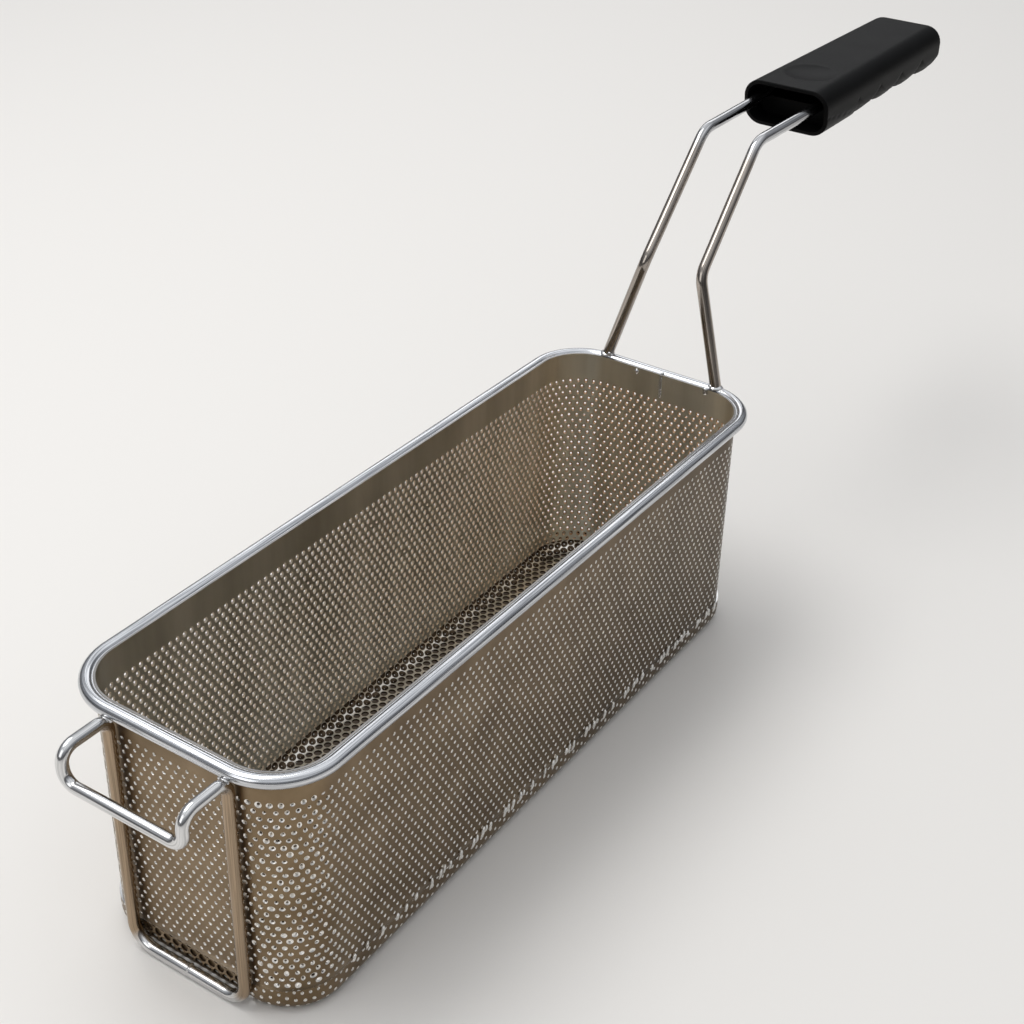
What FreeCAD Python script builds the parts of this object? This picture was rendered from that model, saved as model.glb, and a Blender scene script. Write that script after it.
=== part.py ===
"""Rectangular pasta basket: perforated sheet body, wire rim, front hanging frame and a gripped wire handle.

Frame: +Y runs back along the handle, +X to the right, +Z up.
The origin is the centre of the basket's bottom, on the surface that it stands on.
"""
import FreeCAD, Part
import math
import os

# Perforated body, all sizes in millimetres
basket_length = 308.0
basket_width = 95.0
basket_corner = 21.0
sheet = 0.8
rim_top = 108.0
sheet_edge_below_rim = 1.0
pan_height = 11.0
pan_bend = 6.0

# Punched openings, each standing for a group of the fine real holes
opening_pitch = 17.5
opening_across = 10.0
plain_margin = 13.0
lower_web = 2.2
bottom_pitch = 19.0
bottom_across = 11.0

# Rim wire
rim_wire_thick = 5.0

# Front hanging frame, one closed wire
frame_wire_thick = 4.5
frame_width = 52.0
frame_foot_bend = 9.0
frame_arm_bend = 5.0
hook_reach = 23.3
hook_drop = 12.8
hook_bend = 5.5
weld_gap = 0.05

# Handle wire, one length bent double
handle_wire_thick = 5.0
handle_foot_spread = 55.6
handle_knee_spread = 27.4
handle_elbow_spread = 26.0
handle_grip_spread = 28.6
handle_knee_back = 3.9
handle_knee_rise = 50.1
handle_elbow_back = 44.1
handle_elbow_rise = 47.2
handle_bend = 12.0
handle_tail_bend = 9.0
handle_foot_cope = 1.2
foot_bead = 3.5

# Moulded grip
grip_length = 142.0
grip_width_at_mouth = 42.7
grip_width_at_end = 40.0
grip_height = 21.8
grip_fall = 1.0
grip_edge_round = 8.7
grip_end_round = 7.0
grip_run_up = 53.7
grip_drop = 2.0
mouth_lean = 3.6
mouth_depth = 14.0
mouth_lip = 1.8
wire_in_grip = 60.0
socket_clearance = 0.1
finger_pitch = 26.0
finger_depth = 2.0
finger_edge_depth = 1.7
finger_pads = 4
finger_first_valley = 35.4
thumb_dip = 1.2
thumb_length = 24.0
thumb_from_mouth = 24.0

# Worked-out places
half_length = basket_length / 2
half_width = basket_width / 2
rim_radius = rim_wire_thick / 2
frame_radius = frame_wire_thick / 2
handle_radius = handle_wire_thick / 2
rim_z = rim_top - rim_radius
rim_half_length = half_length + rim_radius
rim_half_width = half_width + rim_radius
wall_top = rim_top - sheet_edge_below_rim
frame_leg_back = half_length + sheet + weld_gap + frame_radius

vector = FreeCAD.Vector
UP = vector(0, 0, 1)
BACK = vector(0, 1, 0)
RIGHT = vector(1, 0, 0)


def wire_run(start, end, radius):
    """Straight round bar from one point to another."""
    along = end - start
    return Part.makeCylinder(radius, along.Length, start, along)


def wire_bend(start, corner, end, bend, radius):
    """Round bar bent about a corner, from tangent point to tangent point."""
    to_start = (start - corner).normalize()
    to_end = (end - corner).normalize()
    half_angle = to_start.getAngle(to_end) / 2
    inward = (to_start + to_end).normalize()
    centre = corner + inward * (bend / math.sin(half_angle))
    axis = (start - centre).cross(end - centre).normalize()
    section = Part.Face(Part.Wire(Part.makeCircle(radius, start, to_start)))
    return section.revolve(centre, axis, 180 - math.degrees(2 * half_angle))


def bent_wire(points, bends, thick, closed=False):
    """Round wire along straight runs that are joined by tangent bends."""
    count = len(points)
    radius = thick / 2
    inner = range(count) if closed else range(1, count - 1)
    tangents = {}
    for index in inner:
        here = points[index]
        before = (points[index - 1] - here).normalize()
        after = (points[(index + 1) % count] - here).normalize()
        setback = bends[index] / math.tan(before.getAngle(after) / 2)
        tangents[index] = (here + before * setback, here + after * setback)
    pieces = []
    for index in inner:
        start, end = tangents[index]
        pieces.append(wire_bend(start, points[index], end, bends[index], radius))
    runs = range(count) if closed else range(count - 1)
    for index in runs:
        following = (index + 1) % count
        start = tangents[index][1] if index in tangents else points[index]
        end = tangents[following][0] if following in tangents else points[following]
        pieces.append(wire_run(start, end, radius))
    return pieces[0].multiFuse(pieces[1:]).removeSplitter()


def rounded_outline(half_x, half_y, corner, z):
    """Closed rounded rectangle about the Z axis."""
    edges = []
    arcs = []
    quarter_turn = math.pi / 2
    for quarter, (side_x, side_y) in enumerate([(1, 1), (-1, 1), (-1, -1), (1, -1)]):
        centre = vector(side_x * (half_x - corner), side_y * (half_y - corner), z)
        first = quarter * quarter_turn
        arcs.append(Part.Arc(Part.Circle(centre, UP, corner), first, first + quarter_turn))
    for index, arc in enumerate(arcs):
        following = arcs[(index + 1) % len(arcs)]
        edges.append(arc.toShape())
        edges.append(Part.LineSegment(arc.EndPoint, following.StartPoint).toShape())
    return Part.Wire(edges)


def rounded_block(half_x, half_y, corner, low, high):
    """Upright block with rounded vertical edges."""
    return Part.Face(rounded_outline(half_x, half_y, corner, low)).extrude(UP * (high - low))


def hexagon_punch(centre, outward, across, reach):
    """Six-sided punch whose axis is horizontal and which passes through the sheet at centre."""
    sideways = outward.cross(UP).normalize()
    circumradius = across / math.sqrt(3)
    start = centre - outward * reach
    corners = []
    for step in range(6):
        angle = math.radians(30 + 60 * step)
        across_part = sideways * (circumradius * math.cos(angle))
        corners.append(start + across_part + UP * (circumradius * math.sin(angle)))
    return Part.Face(Part.makePolygon(corners + corners[:1])).extrude(outward * (2 * reach))


def strip_place(travel):
    """Point and outward direction on the wall, at a distance round it from the seam at the back."""
    flat_x = basket_width - 2 * basket_corner
    flat_y = basket_length - 2 * basket_corner
    quarter = math.pi / 2 * basket_corner
    stages = [(flat_x / 2, 0), (quarter, 1), (flat_y, 0), (quarter, 1), (flat_x, 0)]
    stages += [(quarter, 1), (flat_y, 0), (quarter, 1), (flat_x / 2, 0)]
    place = vector(0, half_length, 0)
    heading = 0.0
    for length, curved in stages:
        used = min(travel, length)
        direction = vector(math.cos(heading), math.sin(heading), 0)
        outward = vector(-math.sin(heading), math.cos(heading), 0)
        if curved:
            turn = used / basket_corner
            centre = place - outward * basket_corner
            outward = vector(math.sin(turn - heading), math.cos(turn - heading), 0)
            place = centre + outward * basket_corner
            heading -= turn
        else:
            place = place + direction * used
        travel -= used
        if travel <= 0:
            break
    return place, outward


def wall_punches():
    """Staggered rows of punches round the wall, as on a sheet that is punched flat and then bent."""
    around = 2 * (basket_length + basket_width - 4 * basket_corner) + 2 * math.pi * basket_corner
    columns = round(around / opening_pitch)
    top_row = rim_top - plain_margin - opening_across / 2
    bottom_row = pan_height + lower_web + opening_across / 2
    spaces = round((top_row - bottom_row) / (opening_pitch * math.sin(math.radians(60))))
    punches = []
    for row in range(spaces + 1):
        z = bottom_row + (top_row - bottom_row) * row / spaces
        for column in range(columns):
            travel = (column + 0.5 + 0.5 * (row % 2)) % columns * around / columns
            place, outward = strip_place(travel)
            punches.append(hexagon_punch(place + UP * z, outward, opening_across, 3 * sheet))
    return punches


def make_wall():
    """Sheet bent to a rounded rectangle, open above and below, that stands inside the pan's edge."""
    outer = rounded_block(half_width, half_length, basket_corner, pan_bend, wall_top)
    inner = rounded_block(half_width - sheet, half_length - sheet, basket_corner - sheet, pan_bend, wall_top)
    return outer.cut(inner).cut(Part.makeCompound(wall_punches()))


def pan_block(offset, low, bend):
    """Solid with the pan's outline and a rounded lower edge."""
    block = rounded_block(half_width + offset, half_length + offset, basket_corner + offset, low, pan_height)
    lower_edges = [edge for edge in block.Edges if edge.BoundBox.ZMax < low + 0.01]
    return block.makeFillet(bend, lower_edges)


def bottom_places():
    """Centres of staggered rows of holes in the flat of the bottom, with a web at the middle."""
    flat_x = half_width + sheet - pan_bend - bottom_across / 2
    flat_y = half_length + sheet - pan_bend - bottom_across / 2
    row_step = bottom_pitch * math.sin(math.radians(60))
    side_rows = int(flat_x / row_step)
    middle_holes = 2 * int(flat_y / bottom_pitch + 0.5)
    places = []
    for row in range(-side_rows, side_rows + 1):
        holes = middle_holes - row % 2
        for hole in range(holes):
            places.append(vector(row * row_step, (hole - (holes - 1) / 2) * bottom_pitch, 0))
    return places


def make_pan():
    """Shallow pan whose turned-up edge holds the wall's lower edge."""
    outer = pan_block(sheet, 0, pan_bend)
    inner = pan_block(0, sheet, pan_bend - sheet)
    punches = []
    circumradius = bottom_across / math.sqrt(3)
    for place in bottom_places():
        corners = []
        for step in range(6):
            angle = math.radians(60 * step)
            corners.append(place + vector(math.cos(angle), math.sin(angle), 0) * circumradius - UP * sheet)
        punches.append(Part.Face(Part.makePolygon(corners + corners[:1])).extrude(UP * (3 * sheet)))
    return outer.cut(inner).cut(Part.makeCompound(punches))


def make_rim(clearance=0.0):
    """Closed wire ring that runs round the outside of the wall's top edge."""
    x = rim_half_width
    y = rim_half_length
    points = [vector(x, y, rim_z), vector(-x, y, rim_z), vector(-x, -y, rim_z), vector(x, -y, rim_z)]
    bends = [basket_corner + rim_radius] * 4
    return bent_wire(points, bends, rim_wire_thick + 2 * clearance, closed=True)


def frame_arm_height():
    """Height at which the frame's bend just meets the underside of the rim wire."""
    apart = frame_arm_bend + rim_radius + frame_radius + weld_gap
    sideways = frame_arm_bend + frame_leg_back - rim_half_length
    return rim_z + frame_arm_bend - math.sqrt(apart ** 2 - sideways ** 2)


def make_frame():
    """Closed wire that stands against the pan's front edge and is folded out to a hook at the top."""
    leg_y = -frame_leg_back
    hook_y = -half_length - hook_reach
    arm_z = frame_arm_height()
    x = frame_width / 2
    points = [
        vector(x, leg_y, frame_radius),
        vector(x, leg_y, arm_z),
        vector(x, hook_y, arm_z),
        vector(x, hook_y, arm_z - hook_drop),
        vector(-x, hook_y, arm_z - hook_drop),
        vector(-x, hook_y, arm_z),
        vector(-x, leg_y, arm_z),
        vector(-x, leg_y, frame_radius),
    ]
    bends = [frame_foot_bend, frame_arm_bend, hook_bend, hook_bend]
    return bent_wire(points, bends + bends[::-1], frame_wire_thick, closed=True)


def grip_axis_height():
    """Height of the wire where it enters the grip."""
    return rim_z + handle_knee_rise + handle_elbow_rise


def grip_mouth_back():
    """Place of the grip's mouth along Y."""
    return rim_half_length + handle_knee_back + handle_elbow_back + grip_run_up


def make_handle():
    """Wire bent double, with its two feet coped onto the rim and its closed end inside the grip."""
    knee_y = rim_half_length + handle_knee_back
    elbow_y = knee_y + handle_elbow_back
    tail_y = grip_mouth_back() + wire_in_grip
    knee_z = rim_z + handle_knee_rise
    elbow_z = grip_axis_height()
    points = []
    for side in (1, -1):
        leg = [
            vector(side * handle_foot_spread / 2, rim_half_length, rim_z + handle_foot_cope),
            vector(side * handle_knee_spread / 2, knee_y, knee_z),
            vector(side * handle_elbow_spread / 2, elbow_y, elbow_z),
            vector(side * handle_grip_spread / 2, tail_y, elbow_z),
        ]
        points += leg if side == 1 else leg[::-1]
    bends = [0, handle_bend, handle_bend, handle_tail_bend]
    wire = bent_wire(points, bends + bends[::-1], handle_wire_thick)
    beads = []
    for side in (1, -1):
        foot = vector(side * handle_foot_spread / 2, rim_half_length, rim_top)
        beads.append(Part.makeSphere(foot_bead, foot))
    near_x = half_width + weld_gap
    near_y = half_length + weld_gap
    body = rounded_block(near_x, near_y, basket_corner + weld_gap, pan_height, wall_top + weld_gap)
    return wire.multiFuse(beads).cut(make_rim(weld_gap)).cut(body).removeSplitter()


def finger_wave(start, inward, depth):
    """Cutter outside a line of rounded pads that have sharp valleys between them."""
    edges = []
    place = start
    for _ in range(finger_pads):
        following = place + BACK * finger_pitch
        crown = (place + following) * 0.5 - inward * depth
        edges.append(Part.Arc(place, crown, following).toShape())
        place = following
    outer_end = place - inward * grip_height
    outer_start = start - inward * grip_height
    edges.append(Part.LineSegment(place, outer_end).toShape())
    edges.append(Part.LineSegment(outer_end, outer_start).toShape())
    edges.append(Part.LineSegment(outer_start, start).toShape())
    across = inward.cross(BACK) * grip_width_at_mouth
    return Part.Face(Part.Wire(edges)).translated(across * -0.5).extrude(across)


def grip_bar(mouth, low_z):
    """Tapered bar with rounded edges, from just before the mouth to the rounded end."""
    half_mouth = grip_width_at_mouth / 2
    half_end = grip_width_at_end / 2
    end = mouth + grip_length
    front = mouth - mouth_lean
    corners = [
        vector(half_mouth, front, low_z),
        vector(half_end, end, low_z),
        vector(-half_end, end, low_z),
        vector(-half_mouth, front, low_z),
    ]
    bar = Part.Face(Part.makePolygon(corners + corners[:1])).extrude(UP * grip_height)
    long_edges = [edge for edge in bar.Edges if edge.BoundBox.YLength > grip_length / 2]
    bar = bar.makeFillet(grip_edge_round, long_edges)
    end_edges = [edge for edge in bar.Edges if edge.BoundBox.YMin > end - 0.01]
    return bar.makeFillet(grip_end_round, end_edges)


def finger_waves(mouth, low_z):
    """Cutters under the grip and along its two lower edges, with their valleys in line."""
    first = mouth + finger_first_valley
    waves = [finger_wave(vector(0, first, low_z + finger_depth), UP, finger_depth)]
    for side in (1, -1):
        inward = vector(-side, 0, 1).normalize()
        round_x = side * (grip_width_at_end / 2 - grip_edge_round)
        round_centre = vector(round_x, first, low_z + grip_edge_round)
        start = round_centre - inward * (grip_edge_round - finger_edge_depth)
        waves.append(finger_wave(start, inward, finger_edge_depth))
    return waves


def mouth_waste(mouth, low_z):
    """What lies before the mouth's leaning face, whose top stands forward."""
    width = 2 * grip_width_at_mouth
    low_front = vector(-grip_width_at_mouth, mouth + mouth_lean / 2, low_z)
    top_front = vector(-grip_width_at_mouth, mouth - mouth_lean / 2, low_z + grip_height)
    slope = top_front - low_front
    corners = [low_front - slope, top_front + slope]
    corners += [corners[1] - BACK * grip_length, corners[0] - BACK * grip_length]
    return Part.Face(Part.makePolygon(corners + corners[:1])).extrude(RIGHT * width)


def make_grip():
    """Moulded grip with a hollow mouth, a socket for the wire, finger pads below and a thumb dip on top."""
    mouth = grip_mouth_back()
    axis_z = grip_axis_height()
    centre_z = axis_z - grip_drop
    half_z = grip_height / 2
    low_z = centre_z - half_z
    body = grip_bar(mouth, low_z)
    for wave in finger_waves(mouth, low_z):
        body = body.cut(wave)
    dip_radius = (thumb_length / 2) ** 2 / (2 * thumb_dip) + thumb_dip / 2
    dip_centre = vector(0, mouth + thumb_from_mouth, centre_z + half_z - thumb_dip + dip_radius)
    body = body.cut(Part.makeSphere(dip_radius, dip_centre))
    body.rotate(vector(0, mouth, low_z), RIGHT, -math.degrees(math.atan(grip_fall / grip_length)))
    body = body.cut(mouth_waste(mouth, low_z))

    recess_x = grip_width_at_mouth / 2 - mouth_lip
    recess_corner = grip_edge_round - mouth_lip
    recess = rounded_block(recess_x, half_z - mouth_lip, recess_corner, -mouth_depth, grip_height)
    recess.rotate(vector(0, 0, 0), RIGHT, 90)
    recess.translate(vector(0, mouth, centre_z))
    socket_half = handle_grip_spread / 2 + handle_radius + socket_clearance
    socket_tall = handle_wire_thick + 2 * socket_clearance
    socket_long = wire_in_grip + handle_radius + socket_clearance
    socket_corner = vector(-socket_half, mouth, axis_z - socket_tall / 2)
    socket = Part.makeBox(2 * socket_half, socket_long, socket_tall, socket_corner)
    return body.cut(recess).cut(socket)


os.makedirs("parts", exist_ok=True)
nodes = {
    "wall_sheet": make_wall,
    "bottom_pan": make_pan,
    "rim_wire": make_rim,
    "hanging_frame": make_frame,
    "handle_wire": make_handle,
    "grip": make_grip,
}
for name, make in nodes.items():
    shape = make()
    print(name, "valid", shape.isValid(), "solids", len(shape.Solids), "volume", round(shape.Volume, 1))
    shape.Solids[0].exportStep("parts/" + name + ".step")
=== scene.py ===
import math

import bmesh
import bpy
import numpy as np
from mathutils import Matrix, Vector


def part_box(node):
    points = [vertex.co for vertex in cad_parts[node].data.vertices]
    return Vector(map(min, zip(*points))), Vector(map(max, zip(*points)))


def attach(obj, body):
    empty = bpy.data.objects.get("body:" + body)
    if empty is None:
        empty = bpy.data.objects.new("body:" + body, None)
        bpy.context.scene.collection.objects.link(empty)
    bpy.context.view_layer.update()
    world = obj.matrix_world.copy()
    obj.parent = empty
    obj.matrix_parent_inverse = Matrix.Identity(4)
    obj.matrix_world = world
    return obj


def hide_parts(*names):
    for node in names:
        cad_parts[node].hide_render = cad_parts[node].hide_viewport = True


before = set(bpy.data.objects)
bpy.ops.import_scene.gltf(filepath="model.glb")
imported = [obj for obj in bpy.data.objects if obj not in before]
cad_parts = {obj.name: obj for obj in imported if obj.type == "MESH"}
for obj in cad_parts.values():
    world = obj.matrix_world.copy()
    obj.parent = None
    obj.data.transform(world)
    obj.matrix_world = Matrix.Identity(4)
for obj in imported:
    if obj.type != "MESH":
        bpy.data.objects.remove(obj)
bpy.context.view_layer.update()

# Pasta basket of perforated steel with wire frames and a moulded grip, set over the frame's solids

# Sizes in metres, read from the frame where a node has them
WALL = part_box("wall_sheet")
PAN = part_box("bottom_pan")
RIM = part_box("rim_wire")
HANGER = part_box("hanging_frame")
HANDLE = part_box("handle_wire")
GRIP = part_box("grip")

# Sheets
HALF_WIDTH = WALL[1][0]
HALF_LENGTH = WALL[1][1]
WALL_LOW = WALL[0][2]
WALL_TOP = WALL[1][2]
PAN_TOP = PAN[1][2]
SHEET = PAN[1][0] - HALF_WIDTH
CORNER = 0.021
PAN_BEND = 0.006
SEAM_X = 0.002

# Outline of the pan's flat, inside its bend
FLAT_HALF_X = HALF_WIDTH + SHEET - PAN_BEND
FLAT_HALF_Y = HALF_LENGTH + SHEET - PAN_BEND
FLAT_CORNER = CORNER + SHEET - PAN_BEND

# Wires
RIM_RADIUS = (RIM[1][2] - RIM[0][2]) / 2
RIM_Z = (RIM[1][2] + RIM[0][2]) / 2
RIM_BACK_Y = RIM[1][1] - RIM_RADIUS
RIM_FRONT_Y = RIM[0][1] + RIM_RADIUS
WELD_GAP = 0.00005
FILLET_RADIUS = 0.0006
FILLET_OUT = 0.00035
FRAME_RADIUS = 0.00225
LEG_X = 0.026
LEG_Y = -(HALF_LENGTH + SHEET + WELD_GAP + FRAME_RADIUS)
HOOK_DROP = 0.0128
HANGER_BENDS = (0.009, 0.005, 0.0055, 0.0055)
HANDLE_RADIUS = 0.0025
HANDLE_FOOT_X = 0.0278
KNEE_X = 0.0137
KNEE_REACH = 0.0039
KNEE_RISE = 0.0501
ELBOW_X = 0.013
ELBOW_REACH = 0.0441
ELBOW_RISE = 0.0472
TAIL_X = 0.0143
HANDLE_BENDS = (0, 0.012, 0.012, 0.009)
HANDLE_FOOT_RISE = 0.75 * RIM_RADIUS
FOOT_BAR_JOINT = 1.09 * FRAME_RADIUS

# Fineness of the wires: sides round them, turn per step in their bends, and longest straight step
WIRE_SIDES = 28
RIM_SIDES = 32
FILLET_SIDES = 10
LOOP_TURN = math.radians(4)
RIM_TURN = math.radians(3)
HANGER_TURN = math.radians(6)
HANDLE_TURN = math.radians(5)
RIM_STEP = 0.006
FILLET_STEP = 0.02
HANGER_STEP = 0.003
HANDLE_STEP = 0.006

# Angles in degrees from which an edge is shaded sharp
SHEET_SHARP = 30
WIRE_SHARP = 50
GRIP_SHARP = 40

# Punched holes of the wall
HOLE_PITCH = 0.00362
HOLE_ROW = 0.00298
HOLE_RADIUS = 0.00065
HOLE_THROAT = 0.7
HOLE_INNER = 1.75
INNER_LIMIT = 0.00115
INNER_STRETCH = 0.86
HOLE_LIP = 0.00006
BEND_LIP = 0.00018
HOLE_TOP_ROW = 0.0934
HOLE_SIDES = 12
THROAT_DEPTH = 0.0003
BURR_HEIGHT = 0.00005
MARGIN_BEGIN = HOLE_TOP_ROW + 1.2 * HOLE_PITCH

# Unevenness of the holes, with what is added round the wall's front bends
CENTRE_SHIFT = 0.00003
THROAT_SHIFT = 0.00005
FRONT_MIDDLE = 0.5
BEND_FADE = 1.6
SIZE_SPREAD = 0.05
BEND_SIZE_SPREAD = 0.07
BEND_SIZE_GAIN = 0.12
SIZE_LIMITS = (0.6, 1.3)
STRETCH_SPREAD = 0.04
BEND_STRETCH_SPREAD = 0.04
LIP_SPREAD = 0.5
DAMAGED_SHARE = 0.014
BEND_DAMAGED_SHARE = 0.05
DAMAGED_SIZE = 0.62
DAMAGED_STRETCH = 1.3

# Holes of the pan
BOTTOM_PITCH_X = 0.0042
BOTTOM_PITCH_Y = 0.0031
BOTTOM_HOLE = 0.0016
EDGE_HOLE = 0.0007
EDGE_THROAT = 0.3
EDGE_INNER = 0.0018
PAN_UNEVENNESS = 0.04
PAN_SPARE = 0.002

# Kinds of faces in a sheet, as places in its list of materials
OUTER_FACE = 0
INNER_FACE = 1
HOLE_EDGE = 2
CUT_EDGE = 3
HOLE_INSIDE = 4
PAN_BORE = 3

# Corners of a six-sided cell, in half pitches and thirds of a row's spacing
CELL_CORNERS = [(0, 2), (1, 1), (1, -1), (0, -2), (-1, -1), (-1, 1)]

# Moulded grip
GRIP_LEAN = 0.0036
GRIP_LEAN_REACH = 0.02
GRIP_MOUTH = GRIP[0][1] + GRIP_LEAN / 2
GRIP_LENGTH = GRIP[1][1] - GRIP_MOUTH
GRIP_HALF_MOUTH = GRIP[1][0]
GRIP_HALF_END = 0.02
GRIP_HALF_HEIGHT = 0.0109
GRIP_AXIS_DROP = 0.002
GRIP_FALL = 0.001
GRIP_EDGE_ROUND = 0.0087
GRIP_END_ROUND = 0.007
GRIP_LIP = 0.0018
GRIP_MOUTH_ROUND = 0.0006
GRIP_MOUTH_DEPTH = 0.014
GRIP_FIRST_RING = 0.0007
GRIP_RINGS = 205
GRIP_END_RINGS = 12
GRIP_MOUTH_RINGS = 5
MOUTH_STRAIGHT = 0.006
SLOT_HALF_X = 0.0169
SLOT_HALF_Z = 0.0026
SLOT_CORNER = 0.0025
SLOT_END = 0.062
FINGER_FIRST = 0.0354
FINGER_PITCH = 0.026
FINGER_DEPTH = 0.0031
FINGER_EDGE_DEPTH = 0.0038
FINGER_SHOULDER = 0.0016
THUMB_PLACE = 0.024
THUMB_RADIUS = 0.0125
THUMB_DEPTH = 0.0014
THUMB_STEEPNESS = 0.8
PARTING_AT_MOUTH = 0.01
PARTING_AT_PADS = 0.005
PARTING_AT_END = 0.0038
PARTING_WIDTH = 0.0003
PARTING_DEPTH = 0.0003
PARTING_INSET = 0.002

# Weld metal: how uneven its lumps are, the dots along the wall's seam, and the bars along the pan's edge
SWELL = 0.1
SWELL_UPRIGHT = 0.07
SEAM_DOT_BEGIN = 0.0965
SEAM_DOT_STEP = 0.0012
BAR_OUT = SHEET * 0.8
BAR_LEAN = 0.5
BAR_STEP = (0.005, 0.01)
BAR_RISE = (-0.0012, 0.0004)
BAR_DEPTH = 0.0009
BAR_WIDTH = (0.0005, 0.0008)
BAR_HEIGHT = (0.0014, 0.0024)
DOUBLED_BARS = 0.35
SECOND_BAR_HEIGHT = (0.001, 0.0018)
SECOND_BAR_STEP = 0.0022
SECOND_BAR_RISE = 0.0006

# Painted reflection, a warm brown tint on the frame's and the handle's legs: where it begins and where
# it is full, as heights from the floor, distances from the leg's middle and heights from the elbow
FRAME_REFLECTION_RISE = (0.004, 0.008)
FRAME_REFLECTION_BEHIND = (-0.004, -0.0005)
HANDLE_REFLECTION_FALL = (-0.008, -0.002)

# Noise and tints of the materials
EVEN = (1, 1, 1)
UPRIGHT = (1, 1, 0.12)
WHITE = (1, 1, 1)
CLOUD_SCALE = 60
CLOUD_DETAIL = 5
CLOUD_STOPS = (0.3, 0.7)
MARK_DETAIL = 6
MARK_ROUGHNESS = 0.65
MARK_BUMP = 0.5
WIRE_LINE_SCALE = 7.0
WIRE_LINE_DETAIL = 3.0
WIRE_LINE_STOPS = (0.38, 0.6)
WIRE_LINE_DEPTH = 0.00006
WIRE_BUMP = 0.4
GRAIN_PER_METRE = 5.0
MOULD_GRAIN_SCALE = 2600
MOULD_GRAIN_DETAIL = 3
MOULD_GRAIN_DEPTH = 0.00012
MOULD_CLOUD_SCALE = 45
MOULD_CLOUD_DETAIL = 4
MOULD_BUMP = 0.4

# Sockets of the colour mix node, which share their names with its other sockets
MIX_FIRST = 6
MIX_SECOND = 7
MIX_RESULT = 2

# Floor: pale, with a dark patch of painted shade under the basket's bottom
FLOOR_PALE = (0.76, 0.735, 0.7, 1)
FLOOR_PAINTED_SHADE = (0.13, 0.1, 0.075, 1)
FLOOR_ROUGHNESS = 0.75
PAINTED_SHADE_INSET = 0.004
FLOOR_STRETCH_X = 60
FLOOR_STRETCH_Y = 25

# Light
SKY_STOPS = [
    (0.0, (0.2, 0.2, 0.2)),
    (0.12, (0.1, 0.1, 0.105)),
    (0.45, (0.3, 0.31, 0.33)),
    (0.85, (0.95, 0.97, 1.0)),
]

# Camera at the photograph's viewing angle
CAMERA_PLACE = (0.31628, -0.4402, 0.45136)
CAMERA_AZIMUTH = math.radians(33.44)
CAMERA_ELEVATION = math.radians(32.05)
CAMERA_ROLL = math.radians(1.52)
FOCAL_PIXELS = 1680.82
IMAGE_PIXELS = 1024
SENSOR_WIDTH = 36.0

RNG = np.random.default_rng(7)


def link_object(name, mesh):
    """Puts a mesh into the scene as an object."""
    piece = bpy.data.objects.new(name, mesh)
    bpy.context.scene.collection.objects.link(piece)
    return piece


def shade_smooth(mesh):
    """Smooth shading on every face."""
    mesh.polygons.foreach_set("use_smooth", np.ones(len(mesh.polygons), dtype=bool))


def new_object(name, vertices, faces, materials, face_slots=None, smooth_angle=35):
    """Mesh object with one material slot per given material."""
    mesh = bpy.data.meshes.new(name)
    mesh.from_pydata([tuple(v) for v in vertices], [], [tuple(f) for f in faces])
    for material in materials:
        mesh.materials.append(material)
    if face_slots is not None:
        mesh.polygons.foreach_set("material_index", np.asarray(face_slots, dtype=np.int32))
    shade_smooth(mesh)
    mesh.set_sharp_from_angle(angle=math.radians(smooth_angle))
    mesh.update()
    return link_object(name, mesh)


def node_material(name):
    """Empty node material with its nodes, links and principled shader."""
    material = bpy.data.materials.new(name)
    material.use_nodes = True
    nodes = material.node_tree.nodes
    return material, nodes, material.node_tree.links, nodes["Principled BSDF"]


def noise(nodes, links, scale, detail=4.0, stretch=EVEN, roughness=0.5):
    """Noise in object space, stretched along the axes."""
    place = nodes.new("ShaderNodeTexCoord")
    mapping = nodes.new("ShaderNodeMapping")
    mapping.inputs["Scale"].default_value = stretch
    texture = nodes.new("ShaderNodeTexNoise")
    texture.inputs["Scale"].default_value = scale
    texture.inputs["Detail"].default_value = detail
    texture.inputs["Roughness"].default_value = roughness
    links.new(place.outputs["Object"], mapping.inputs["Vector"])
    links.new(mapping.outputs["Vector"], texture.inputs["Vector"])
    return texture.outputs["Fac"]


def ramp(nodes, links, source, stops):
    """Colour ramp from (position, colour) stops."""
    node = nodes.new("ShaderNodeValToRGB")
    elements = node.color_ramp.elements
    while len(elements) < len(stops):
        elements.new(0.5)
    for element, (position, colour) in zip(elements, stops):
        element.position = position
        element.color = (*colour, 1)
    links.new(source, node.inputs["Fac"])
    return node.outputs["Color"]


def value_range(nodes, links, source, low, high):
    """Maps 0..1 noise to a range."""
    node = nodes.new("ShaderNodeMapRange")
    node.inputs["To Min"].default_value = low
    node.inputs["To Max"].default_value = high
    links.new(source, node.inputs["Value"])
    return node.outputs["Result"]


def bump(nodes, links, source, shader, strength, distance):
    """Fine relief from noise."""
    node = nodes.new("ShaderNodeBump")
    node.inputs["Strength"].default_value = strength
    node.inputs["Distance"].default_value = distance
    links.new(source, node.inputs["Height"])
    links.new(node.outputs["Normal"], shader.inputs["Normal"])


def multiply(nodes, links, colour, tint):
    """Colour multiplied by a tint."""
    node = nodes.new("ShaderNodeMix")
    node.data_type = "RGBA"
    node.blend_type = "MULTIPLY"
    node.inputs["Factor"].default_value = 1.0
    links.new(colour, node.inputs[MIX_FIRST])
    links.new(tint, node.inputs[MIX_SECOND])
    return node.outputs[MIX_RESULT]


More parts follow.
